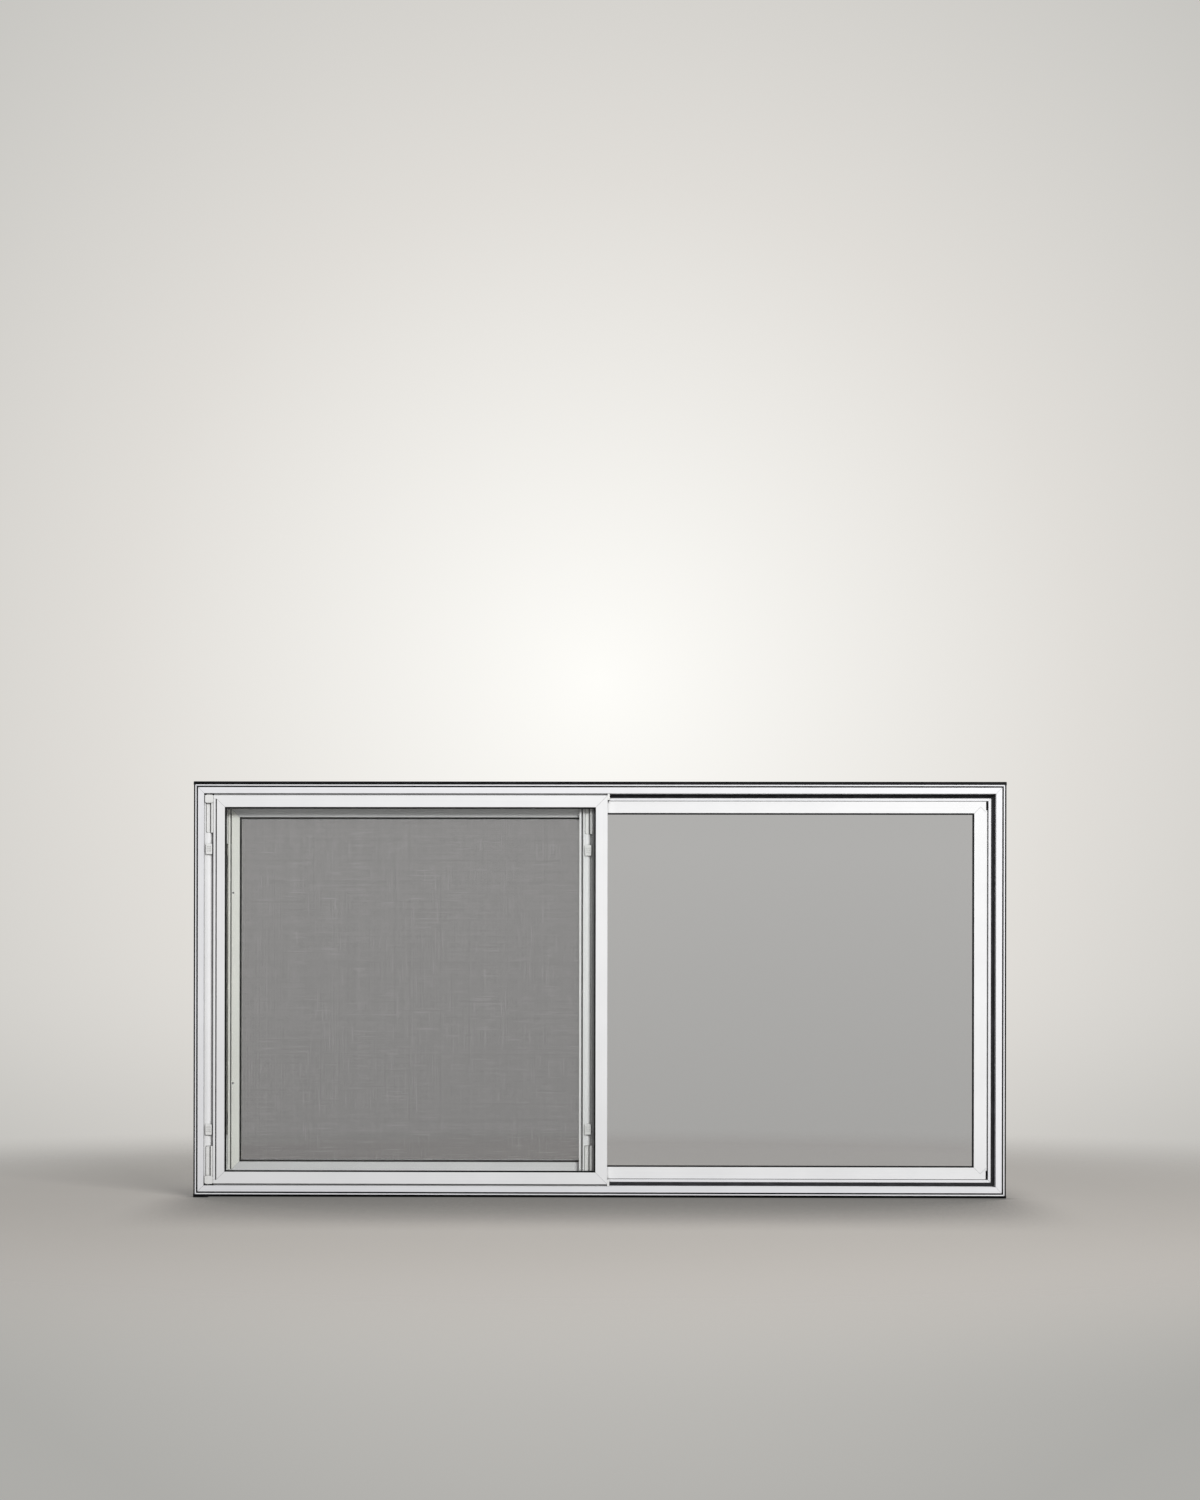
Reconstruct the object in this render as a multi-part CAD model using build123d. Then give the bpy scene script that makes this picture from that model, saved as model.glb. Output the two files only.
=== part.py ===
from build123d import *

import os

# Horizontal sliding storm window in white aluminium: a stepped three-track frame, a glass sash in each of
# the front two tracks and a half screen in the rear one. Millimetres, +X right and +Z up; the front, where
# the latches are, faces -Y. The origin is on the back face of the sill, half way along.

# Frame, metal edge to metal edge
frame_width = 1516.4
frame_height = 768.5
wall = 1.5
edge_rib = 2.2
edge_groove = 2.8
edge_groove_depth = 9.0
back_lip = 48.0

# Tracks, front to back: how far each leg reaches in from the metal edge, and how wide each track is
leg_reach = (16.3, 29.0, 41.5)
track_roof = (6.6, 19.0, 31.6)
track_width = 12.0
seat_gap = 0.3

# Screws that hold the frame, through the floor of the middle track
screw_hole_radius = 2.6
head_screw_inset = 238.2
jamb_screw_inset = 154.25

# Drain slots punched through the sill just above the floor of each track, a pair for each
weep_length = 16.0
weep_height = 4.0
weep_lift = 0.4
weep_inset = 110.0
weep_stagger = 34.0

# Seal round the outside of the frame; at its left end the sill's has come loose and hangs lower
seal_width = 10.0
seal_skin = 1.3
seal_setback = 3.0
side_seal_height = 3.8
top_seal_height = 6.5
bottom_seal_height = 5.2
loose_seal_height = 6.5
loose_seal_length = 29.0

# Pile strip on the leg behind the front track
pile_height = 7.0
pile_edge = 17.0

# How each panel stands in its track: ahead of the track's front wall, clear of its back wall, clear of the
# leg that its rails pass behind, and clear of the jamb that it closes against
panel_proud = 0.8
panel_back_gap = 0.8
rail_gap = (3.9, 1.0, 1.5)
hook_clearance = 2.7
jamb_stile_clearance = 2.7
screen_hook_clearance = 1.8
tongue_end_gap = 1.0

# The left sash laps the right one at this distance right of the middle, and the screen stops short of it
meeting_offset = 15.1
screen_short = 2.9

# Glass sashes
sash_wall = 1.4
sash_face = 21.9
pocket_depth = 6.6
glass_thickness = 3.0
glass_clearance = 0.9
gasket_clearance = 0.3
gasket_bead = 2.6
tongue_front = 5.0
tongue_gap = 2.2
top_tongue = 8.0

# Latch stile, measured from its free edge
hook_lip = 3.4
hook_setback = 2.2
channel_start = 7.0
channel_setback = 3.2
roll_start = 12.5
roll_width = 9.2
fin_start = 24.8
fin_width = 3.9
box_start = 31.0
box_face = 15.0

# Jamb stile of the right sash: gabled ends and a cut-back outer edge
jamb_stile_face = 23.7
gable_run = 11.8
gable_end = 22.0
notch_depth = 16.3

# Latches, which slide inside the roll. The body shows in an opening at the end of the stile, and the tab
# stands on the roll's face and hides a second, shorter opening
slot_start = 10.0
slot_end = 19.8
slot_corner = 3.0
slot_gap = 0.4
tab_cover = 1.0
latch_travel = 8.5
latch_setback = 5.4
latch_clearance = 0.8
latch_body_width = 7.5
latch_body_chamfer = 1.6
latch_tab_width = 11.7
latch_tab_height = 19.6
latch_tab_depth = 3.2
latch_tab_corner = 1.5
latch_foot_setback = 1.0
latch_nose_width = 6.0
ridge_start = 5.0
ridge_pitch = 4.0
ridge_groove = 2.0
ridge_depth = 0.8
ridge_margin = 2.0
body_rise = 21.0
spring_side_gap = 0.35
spring_wire = 0.5
spring_gap = 0.1
rod_share = 0.4
rod_root = 1.0
guide_height = 14.0
guide_depth = 3.0
guide_setback = 0.2
guide_side_gap = 0.4
guide_corner = 3.0
guide_cap = 1.0
leg_setback = 2.0
leg_gap = 0.3
leg_high = 2.0

# Nylon glides on the free ends of the left sash's rails
glide_width = 4.2
glide_height = 11.9
glide_gap = 0.2
glide_setback = 0.5
glide_depth = 10.8

# Half screen
screen_thickness = 10.0
screen_face = 16.5
spline_width = 3.0
spline_clearance = 0.3
spline_setback = 3.2
mesh_thickness = 0.5
mesh_setback = 4.0

# How far the latch tabs of each panel lie from the outer edges of its own rails
tab_start = {"left_sash": 91.0, "right_sash": 82.5, "screen": 88.0}

# Cutting shapes run this far past what they cut
overshoot = 30.0

half_width = frame_width / 2
half_height = frame_height / 2
sill_face_height = back_lip / 2
window_centre = Pos(0, 0, half_height - sill_face_height)
track_start = [wall + i * (track_width + wall) for i in range(3)]
frame_depth = track_start[2] + track_width + wall
sash_thickness = track_width + panel_proud - panel_back_gap


def strip(u0, v0, u1, v1):
    """Part of a section: u runs in from the outer edge, v runs back from the front."""
    return Pos((u0 + u1) / 2, (v0 + v1) / 2) * Rectangle(u1 - u0, v1 - v0)


def bar(section, start, end, front=0.0):
    """A section run along X from start to end, its outer edge up, at Z = 0."""
    plane = Plane(origin=(start, front - frame_depth, 0), x_dir=(0, 0, -1), z_dir=(1, 0, 0))
    return extrude(plane * section, end - start)


def prism(points):
    """An outline drawn in X and Z, taken right through the window's depth."""
    outline = make_face(Polyline(*points, close=True))
    plane = Plane(origin=(0, frame_depth, 0), x_dir=(1, 0, 0), z_dir=(0, -1, 0))
    return extrude(plane * outline, 3 * frame_depth)


def slab(x0, x1, v0, v1, z0, z1):
    """A plain block, its depth measured from the front of the frame."""
    centre = Pos((x0 + x1) / 2, (v0 + v1) / 2 - frame_depth, (z0 + z1) / 2)
    return centre * Box(x1 - x0, v1 - v0, z1 - z0)


def upside_down(shape):
    return mirror(shape, about=Plane.XY)


def frame_section():
    groove_end = edge_rib + edge_groove
    track = track_start
    section = strip(0, 0, edge_rib, frame_depth)
    section += strip(0, edge_groove_depth, groove_end, edge_groove_depth + wall)
    section += strip(track_roof[0] - wall, 0, track_roof[0], track[1])
    section += strip(track_roof[0] - wall, 0, leg_reach[0], wall)
    for i in (1, 2):
        section += strip(track_roof[i - 1] - wall, track[i] - wall, leg_reach[i], track[i])
        section += strip(track_roof[i] - wall, track[i] - wall, track_roof[i], track[i] + track_width)
    section += strip(track_roof[2] - wall, track[2], track_roof[2], frame_depth)
    section += strip(0, frame_depth - wall, back_lip, frame_depth)
    return section


def mitred_bar(section, length, front=0.0):
    reach = back_lip + overshoot
    end = length / 2
    corner = prism([(-end - overshoot, overshoot), (-end + reach, -reach), (-end - overshoot, -reach)])
    return bar(section, -end, end, front) - corner - mirror(corner, about=Plane.YZ)


def on_side(shape, side):
    """Turns a bar made along the head to another side of the frame."""
    turn = {"top": 0, "right": 90, "bottom": 180, "left": -90}[side]
    shift = {
        "top": (0, 0, half_height),
        "right": (half_width, 0, 0),
        "bottom": (0, 0, -half_height),
        "left": (-half_width, 0, 0),
    }[side]
    return Pos(*shift) * Rot(0, turn, 0) * shape


def frame_bar(length, screw_inset):
    shape = mitred_bar(frame_section(), length)
    middle_track = track_start[1] + track_width / 2
    screw = length / 2 - screw_inset
    for x in (-screw, screw):
        hole = Cylinder(screw_hole_radius, 2 * back_lip)
        shape -= Pos(x, middle_track - frame_depth, 0) * hole
    return shape


def weep_slots():
    """Slots that run back from each track, low down, through every wall behind it."""
    slots = []
    for i in range(3):
        height = track_roof[i] + weep_lift + weep_height / 2
        for side in (-1, 1):
            x = side * (half_width - weep_inset - i * weep_stagger)
            start = track_start[i] + track_width / 2 - frame_depth
            slot = Box(weep_length, frame_depth, weep_height)
            slots.append(Pos(x, start + frame_depth / 2, -height) * slot)
    return slots


def seal_section(height):
    middle = seal_setback + seal_width / 2
    bulb = Ellipse(height, seal_width / 2) - Ellipse(height - seal_skin, seal_width / 2 - seal_skin)
    outside = Pos(-height / 2, 0) * Rectangle(height, seal_width)
    base = Pos(-seal_skin / 2, 0) * Rectangle(seal_skin, seal_width)
    return Pos(0, middle) * ((bulb & outside) + base)


def rail_section(face, thickness, tongue):
    section = strip(0, 0, face, sash_wall)
    section += strip(0, thickness - sash_wall, face, thickness)
    section += strip(0, 0, sash_wall, thickness)
    section += strip(face - pocket_depth - sash_wall, 0, face - pocket_depth, thickness)
    return section + tongue_section(thickness, tongue)


def tongue_section(thickness, reach):
    if not reach:
        return strip(0, 0, sash_wall, thickness)
    second = tongue_front + sash_wall + tongue_gap
    section = strip(-reach, tongue_front, sash_wall, tongue_front + sash_wall)
    return section + strip(-reach, second, sash_wall, second + sash_wall)


def screen_section(face, tongue):
    floor_back = screen_thickness - sash_wall
    groove_end = face + spline_width + spline_clearance
    section = strip(0, 0, face, sash_wall)
    section += strip(0, floor_back, groove_end + sash_wall, screen_thickness)
    section += strip(0, 0, sash_wall, screen_thickness)
    section += strip(face - sash_wall, 0, face, screen_thickness)
    section += strip(groove_end, mesh_setback + mesh_thickness, groove_end + sash_wall, screen_thickness)
    return section + tongue_section(screen_thickness, tongue)


def latch_channel(thickness):
    """The latch stile outside its glass box: hook, groove, rolled latch channel and grip fin."""
    floor_front = thickness - 2 * sash_wall
    floor_back = thickness - sash_wall
    section = strip(0, hook_setback, hook_lip, hook_setback + sash_wall)
    section += strip(0, hook_setback, sash_wall, floor_back)
    section += strip(0, floor_front, box_start + sash_wall, floor_back)
    section += strip(channel_start, channel_setback, channel_start + sash_wall, floor_back)
    section += strip(channel_start, channel_setback, roll_start, channel_setback + sash_wall)
    roll_depth = floor_front - channel_setback
    curve = (roll_width ** 2 + roll_depth ** 2) / (2 * roll_depth)
    roll = Pos(roll_start, channel_setback + curve) * (Circle(curve) - Circle(curve - sash_wall))
    section += roll & strip(roll_start, channel_setback, roll_start + roll_width, floor_front)
    section += strip(fin_start, 0, fin_start + sash_wall, floor_back)
    section += strip(fin_start, 0, fin_start + fin_width, sash_wall)
    return section


class Panel:
    """One sliding panel: its place, its outline and the cuts where its rails meet its stiles."""

    def __init__(self, name, track, start, end, thickness, face):
        edge = leg_reach[track] + rail_gap[track]
        self.name = name
        self.start = start
        self.end = end
        self.half = half_height - edge
        self.front = track_start[track] - panel_proud
        self.thickness = thickness
        self.face = face
        self.bottom_tongue = edge - track_roof[track] - seat_gap
        self.inner_left = start + box_start + box_face
        self.inner_right = self.end - face

    def latch_joint(self, side):
        """Where a rail laps over the fin and mitres into the glass box of the latch stile."""
        fin = self.start + fin_start
        box = self.start + box_start
        depth = self.face - box_face
        corner = self.inner_left
        low = -self.face - overshoot
        line = [(fin, overshoot), (fin, -depth), (box, -depth), (corner + overshoot, low)]
        far = {"rail": [(self.start - overshoot, low), (self.start - overshoot, overshoot)],
               "stile": [(corner + overshoot, overshoot)]}[side]
        return Pos(0, 0, self.half) * prism(line + far)

    def mitre_joint(self, side):
        corner = self.inner_right
        low = -self.face - overshoot
        line = [(self.end + overshoot, overshoot), (corner - overshoot, low)]
        far = {"rail": [(self.end + overshoot, low)],
               "stile": [(corner - overshoot, overshoot)]}[side]
        return Pos(0, 0, self.half) * prism(line + far)

    def gable_joint(self, side):
        corner = self.end - jamb_stile_face
        peak = (corner + gable_run, gable_run - self.face)
        shoulder = corner + gable_end
        drop = peak[1] - (gable_end - gable_run)
        line = [(corner, -self.face), peak, (shoulder, drop)]
        if side == "rail":
            far = [(shoulder, overshoot), (self.end + overshoot, overshoot),
                   (self.end + overshoot, -self.face - overshoot), (corner, -self.face - overshoot)]
        else:
            far = [(shoulder, -notch_depth), (self.end + overshoot, -notch_depth),
                   (self.end + overshoot, overshoot), (corner - overshoot, overshoot),
                   (corner - overshoot, -self.face)]
        return Pos(0, 0, self.half) * prism(line + far)

    def rail(self, section, right_joint):
        shape = bar(section, self.start + fin_start, self.end, self.front)
        shape = Pos(0, 0, self.half) * shape
        return shape - self.latch_joint("rail") - right_joint("rail")

    def stile(self, section, joint, side):
        shape = bar(section, -self.half, self.half, self.front)
        turned = Rot(0, -90 if side == "left" else 90, 0) * shape
        shape = Pos(self.start if side == "left" else self.end, 0, 0) * turned
        cut = joint("stile")
        return shape - cut - upside_down(cut)


def save(name, *shapes):
    placed = [window_centre * shape for shape in shapes]
    shape = placed[0] if len(placed) == 1 else Compound(children=placed)
    export_step(shape, f"parts/{name}.step")


def make_frame():
    head = frame_bar(frame_width, head_screw_inset)
    jamb = frame_bar(frame_height, jamb_screw_inset)
    sill = head
    for slot in weep_slots():
        sill -= slot
    save("frame_head", on_side(head, "top"))
    save("frame_sill", on_side(sill, "bottom"))
    save("frame_left_jamb", on_side(jamb, "left"))
    save("frame_right_jamb", on_side(jamb, "right"))


def make_seals():
    reach = half_width + side_seal_height
    top_seal = bar(seal_section(top_seal_height), -reach, reach)
    loose = reach - loose_seal_length
    drop = loose_seal_height - bottom_seal_height
    bottom_seal = bar(seal_section(bottom_seal_height), -reach, loose)
    bottom_seal += bar(seal_section(loose_seal_height), loose, reach)
    bottom_seal -= prism([(loose, bottom_seal_height), (loose, bottom_seal_height + overshoot),
                          (loose + overshoot, bottom_seal_height + overshoot),
                          (loose + 2 * drop, bottom_seal_height + drop)])
    side_seal = bar(seal_section(side_seal_height), -half_height, half_height)
    save("seal_top", on_side(top_seal, "top"))
    save("seal_bottom", on_side(bottom_seal, "bottom"))
    save("seal_left", on_side(side_seal, "left"))
    save("seal_right", on_side(side_seal, "right"))


def make_pile():
    back = track_start[0] + track_width
    section = strip(pile_edge, back - panel_back_gap, pile_edge + pile_height, back)
    head = mitred_bar(section, frame_width)
    jamb = mitred_bar(section, frame_height)
    save("pile_head", on_side(head, "top"))
    save("pile_sill", on_side(head, "bottom"))
    save("pile_left", on_side(jamb, "left"))
    save("pile_right", on_side(jamb, "right"))


def latch_openings(panel):
    """The openings in the roll at the top of a latch stile, for the latch's body and under its tab."""
    x0 = panel.start + slot_start
    front = panel.front - overshoot
    floor = panel.front + panel.thickness - 2 * sash_wall
    tab_top = panel.half - tab_start[panel.name]
    low = tab_top + body_rise - slot_gap
    body_opening = slab(x0, panel.start + fin_start, front, floor, low, panel.half + overshoot)
    corner = body_opening.edges().filter_by(Axis.Y).group_by(Axis.Z)[0].sort_by(Axis.X)[0]
    body_opening = fillet(corner, slot_corner)
    tab_opening = slab(x0, panel.start + slot_end, front, floor,
                       tab_top - latch_tab_height + tab_cover, tab_top - tab_cover)
    return body_opening, tab_opening


def latch_parts(panel):
    """Slide latch at the top of a latch stile, with its spring and the guide its nose runs through."""
    top = panel.half
    floor = panel.front + panel.thickness - 2 * sash_wall
    face = panel.front + latch_setback
    left = panel.start + slot_start + latch_clearance
    right = left + latch_body_width
    middle = (left + right) / 2
    tab_top = top - tab_start[panel.name]
    body_low = tab_top + body_rise
    body_top = top - guide_height - latch_clearance
    body = slab(left, right, face, floor, body_low, body_top)
    front_edge = body.edges().filter_by(Axis.Z).sort_by(Axis.Y)[:2].sort_by(Axis.X)[1]
    body = chamfer(front_edge, latch_body_chamfer)
    low_corner = body.edges().filter_by(Axis.Y).group_by(Axis.Z)[0].sort_by(Axis.X)[0]
    body = fillet(low_corner, slot_corner)
    nose_half = latch_nose_width / 2
    nose = slab(middle - nose_half, middle + nose_half, face, floor, body_top, top + top_tongue)

    tab_left = left - latch_clearance / 2
    tab_low = tab_top - latch_tab_height
    tab = slab(tab_left, tab_left + latch_tab_width, panel.front, panel.front + latch_tab_depth,
               tab_low, tab_top)
    tab = fillet(tab.edges().filter_by(Axis.Y), latch_tab_corner)
    for i in range(3):
        z = tab_top - ridge_start - ridge_pitch * i
        tab -= slab(tab_left + ridge_margin, tab_left + latch_tab_width - ridge_margin,
                    panel.front - overshoot, panel.front + ridge_depth, z - ridge_groove, z)
    foot_top = tab_top - tab_cover - slot_gap
    foot_low = tab_low + tab_cover + latch_travel
    foot = slab(left, right, panel.front + latch_foot_setback, floor, foot_low, foot_top)

    spring_radius = (floor - panel.front - channel_setback - sash_wall) / 2 - spring_side_gap
    spring_length = body_low - foot_top
    coil_centre = floor - spring_radius - spring_gap
    coil = Pos(middle, coil_centre - frame_depth, (body_low + foot_top) / 2)
    rod = coil * Cylinder(rod_share * spring_radius, spring_length + 2 * rod_root)
    spring = coil * Cylinder(spring_radius, spring_length)
    spring -= coil * Cylinder(spring_radius - spring_wire, spring_length)

    guide_left = panel.start + channel_start + sash_wall + guide_side_gap
    guide_right = panel.start + fin_start - guide_side_gap
    guide = slab(guide_left, guide_right, panel.front + guide_setback, panel.front + guide_depth,
                 top - guide_height, top + guide_cap)
    guide = fillet(guide.edges().filter_by(Axis.Y), guide_corner)
    leg = slab(panel.start + slot_end + leg_gap, guide_right, panel.front + leg_setback, floor,
               body_low, top - leg_high)
    return body + nose + rod + tab + foot, spring, guide + leg


def save_latches(panel, *glides):
    latch, spring, guide = latch_parts(panel)
    save(f"{panel.name}_top_latch", latch)
    save(f"{panel.name}_bottom_latch", upside_down(latch))
    save(f"{panel.name}_latch_springs", spring, upside_down(spring))
    save(f"{panel.name}_end_guides", guide, upside_down(guide), *glides)


def make_latch_stile(panel, box):
    section = latch_channel(panel.thickness) + Pos(box_start, 0) * box
    shape = panel.stile(section, panel.latch_joint, "left")
    for opening in latch_openings(panel):
        shape = shape - opening - upside_down(opening)
    save(f"{panel.name}_latch_stile", shape)


def make_glass_sash(panel, right_joint, right_name, right_face, right_tongue, *glides):
    top = rail_section(panel.face, panel.thickness, top_tongue)
    bottom = rail_section(panel.face, panel.thickness, panel.bottom_tongue)
    save(f"{panel.name}_top_rail", panel.rail(top, right_joint))
    save(f"{panel.name}_bottom_rail", upside_down(panel.rail(bottom, right_joint)))
    make_latch_stile(panel, rail_section(box_face, panel.thickness, 0))
    right = rail_section(right_face, panel.thickness, right_tongue)
    save(f"{panel.name}_{right_name}", panel.stile(right, right_joint, "right"))

    inner_right = panel.end - right_face
    into = pocket_depth - glass_clearance
    open_half = panel.half - panel.face
    glass_front = panel.front + (panel.thickness - glass_thickness) / 2
    glass = slab(panel.inner_left - into, inner_right + into, glass_front, glass_front + glass_thickness,
                 -open_half - into, open_half + into)
    save(f"{panel.name}_glass", glass)
    ring_out = pocket_depth - gasket_clearance
    gasket_front = panel.front + sash_wall
    gasket_back = panel.front + panel.thickness - sash_wall
    ring = slab(panel.inner_left - ring_out, inner_right + ring_out, gasket_front, gasket_back,
                -open_half - ring_out, open_half + ring_out)
    ring -= slab(panel.inner_left + gasket_bead, inner_right - gasket_bead, gasket_front - overshoot,
                 gasket_back + overshoot, -open_half + gasket_bead, open_half - gasket_bead)
    save(f"{panel.name}_gasket", ring - glass)
    save_latches(panel, *glides)


def make_screen(panel):
    top = screen_section(panel.face, top_tongue)
    bottom = screen_section(panel.face, panel.bottom_tongue)
    save("screen_top_rail", panel.rail(top, panel.mitre_joint))
    save("screen_bottom_rail", upside_down(panel.rail(bottom, panel.mitre_joint)))
    make_latch_stile(panel, screen_section(box_face, 0))
    save("screen_plain_stile", panel.stile(screen_section(panel.face, 0), panel.mitre_joint, "right"))
    open_half = panel.half - panel.face
    x0, x1 = panel.inner_left, panel.inner_right
    front = panel.front + spline_setback
    spline = slab(x0, x1, front, front + spline_width, -open_half, open_half)
    inner = spline_width
    spline -= slab(x0 + inner, x1 - inner, front - overshoot, front + overshoot,
                   -open_half + inner, open_half - inner)
    save("screen_spline", spline)
    edge = spline_width
    front = panel.front + mesh_setback
    mesh = slab(x0 + edge, x1 - edge, front, front + mesh_thickness, -open_half + edge, open_half - edge)
    save("screen_mesh", mesh)
    save_latches(panel)


def main():
    os.makedirs("parts", exist_ok=True)
    make_frame()
    make_seals()
    make_pile()
    left_start = -half_width + track_roof[0] + hook_clearance
    left = Panel("left_sash", 0, left_start, meeting_offset, sash_thickness, sash_face)
    glide_top = half_height - leg_reach[0] - glide_gap
    glide_front = left.front + glide_setback
    glide = slab(left.end, left.end + glide_width, glide_front, glide_front + glide_depth,
                 glide_top - glide_height, glide_top)
    make_glass_sash(left, left.mitre_joint, "meeting_stile", sash_face, 0, glide, upside_down(glide))
    right_start = meeting_offset - sash_face - box_start
    right_end = half_width - leg_reach[1] - jamb_stile_clearance
    right = Panel("right_sash", 1, right_start, right_end, sash_thickness, sash_face)
    jamb_tongue = half_width - track_roof[1] - tongue_end_gap - right_end
    make_glass_sash(right, right.gable_joint, "jamb_stile", jamb_stile_face, jamb_tongue)
    screen_start = -half_width + track_roof[2] + screen_hook_clearance
    screen_end = meeting_offset - screen_short
    make_screen(Panel("screen", 2, screen_start, screen_end, screen_thickness, screen_face))


main()
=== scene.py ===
import math
import random

import bmesh
import bpy
from mathutils import Matrix, Vector


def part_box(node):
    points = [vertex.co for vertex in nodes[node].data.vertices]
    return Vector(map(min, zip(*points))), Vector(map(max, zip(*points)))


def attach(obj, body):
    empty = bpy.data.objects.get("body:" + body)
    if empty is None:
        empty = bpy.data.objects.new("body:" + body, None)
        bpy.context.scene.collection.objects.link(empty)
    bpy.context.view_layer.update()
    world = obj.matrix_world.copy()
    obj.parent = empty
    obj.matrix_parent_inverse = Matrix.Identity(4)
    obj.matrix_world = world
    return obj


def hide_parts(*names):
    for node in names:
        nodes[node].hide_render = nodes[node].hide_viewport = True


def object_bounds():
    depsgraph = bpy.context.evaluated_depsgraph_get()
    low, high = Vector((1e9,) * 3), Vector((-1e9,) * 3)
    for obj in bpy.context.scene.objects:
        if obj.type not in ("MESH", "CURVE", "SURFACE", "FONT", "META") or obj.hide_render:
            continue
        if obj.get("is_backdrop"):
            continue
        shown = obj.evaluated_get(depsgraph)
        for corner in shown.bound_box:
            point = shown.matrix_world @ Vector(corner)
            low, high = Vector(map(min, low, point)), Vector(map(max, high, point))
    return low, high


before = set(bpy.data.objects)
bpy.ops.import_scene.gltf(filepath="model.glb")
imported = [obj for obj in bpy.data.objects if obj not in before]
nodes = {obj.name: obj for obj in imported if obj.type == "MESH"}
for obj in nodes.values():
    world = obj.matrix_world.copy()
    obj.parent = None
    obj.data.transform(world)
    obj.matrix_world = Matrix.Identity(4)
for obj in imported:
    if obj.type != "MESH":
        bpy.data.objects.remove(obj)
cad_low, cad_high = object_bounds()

# Frame
# The four outer members are one extruded aluminium section with three stepped tracks, cut at 45 degrees
# and screwed together at the corners. The lengths are stove-enamelled white before they are cut.

MM = 0.001
sill_low, sill_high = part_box("frame_sill")
head_low, head_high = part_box("frame_head")
window_middle = (sill_low.z + head_high.z) / 2
half_width = sill_high.x
half_height = head_high.z - window_middle
member_face = head_high.z - head_low.z
frame_white = "E9E9EB"


def linear(colour):
    """An sRGB hex colour as linear red, green, blue and alpha."""
    channels = [int(colour[i:i + 2], 16) / 255 for i in (0, 2, 4)]
    return [c / 12.92 if c <= 0.04045 else ((c + 0.055) / 1.055) ** 2.4 for c in channels] + [1.0]


def add(tree, kind, inputs=None, **settings):
    """A shader node with its settings; each input is a value or another node's output."""
    node = tree.nodes.new("ShaderNode" + kind)
    for name, value in settings.items():
        setattr(node, name, value)
    for name, value in (inputs or {}).items():
        if isinstance(value, bpy.types.NodeSocket):
            tree.links.new(value, node.inputs[name])
        else:
            node.inputs[name].default_value = value
    return node


def new_material(name):
    """An empty node material and its node tree."""
    material = bpy.data.materials.new(name)
    material.use_nodes = True
    material.node_tree.nodes.clear()
    return material, material.node_tree


def dress(material, *names):
    """Puts a material in the slots of CAD nodes."""
    for name in names:
        slots = nodes[name].data.materials
        slots.clear()
        slots.append(material)


def joint_lines(tree, place, lines):
    """1 on the hairlines where members meet. Each line is two points: X, and height off the middle."""
    half_line = 0.25 * MM
    apart = add(tree, "SeparateXYZ", {0: place})
    off_middle = add(tree, "Math", {0: apart.outputs["Z"], 1: window_middle}, operation="SUBTRACT")
    height = add(tree, "Math", {0: off_middle.outputs[0]}, operation="ABSOLUTE")
    folded = add(tree, "CombineXYZ", {"X": apart.outputs["X"], "Z": height.outputs[0]}).outputs[0]
    found = None
    for (start_x, start_height), (end_x, end_height) in lines:
        start = Vector((start_x, 0, start_height))
        along = Vector((end_x, 0, end_height)) - start
        length = along.length
        along.normalize()
        across = Vector((-along.z, 0, along.x))
        off = add(tree, "VectorMath", {0: folded, 1: across}, operation="DOT_PRODUCT").outputs["Value"]
        run = add(tree, "VectorMath", {0: folded, 1: along}, operation="DOT_PRODUCT").outputs["Value"]
        near = add(tree, "Math", {0: off, 1: across.dot(start), 2: half_line}, operation="COMPARE")
        within = add(tree, "Math", {0: run, 1: along.dot(start) + length / 2, 2: length / 2},
                     operation="COMPARE")
        here = add(tree, "Math", {0: near.outputs[0], 1: within.outputs[0]}, operation="MULTIPLY")
        if found:
            here = add(tree, "Math", {0: found, 1: here.outputs[0]}, operation="MAXIMUM")
        found = here.outputs[0]
    return found


def painted_hollow_shade(tree, colour, reach, strength):
    """A colour darkened grey with painted shade in channels, corners and narrow gaps, where little light
    reaches.
    """
    closed_in, open_air = 0.15, 0.7
    around = add(tree, "AmbientOcclusion", {"Color": (1, 1, 1, 1), "Distance": reach}, samples=6)
    held = add(tree, "MapRange", {"Value": around.outputs["AO"], "From Min": closed_in,
                                  "From Max": open_air, "To Min": strength, "To Max": 0.0})
    # The grey that the hollows are darkened to is painted shade.
    hollow_shaded = add(tree, "Mix", {"Factor": held.outputs[0], 6: colour, 7: linear("4A4948")},
                 data_type="RGBA")
    return hollow_shaded.outputs[2]


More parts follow.
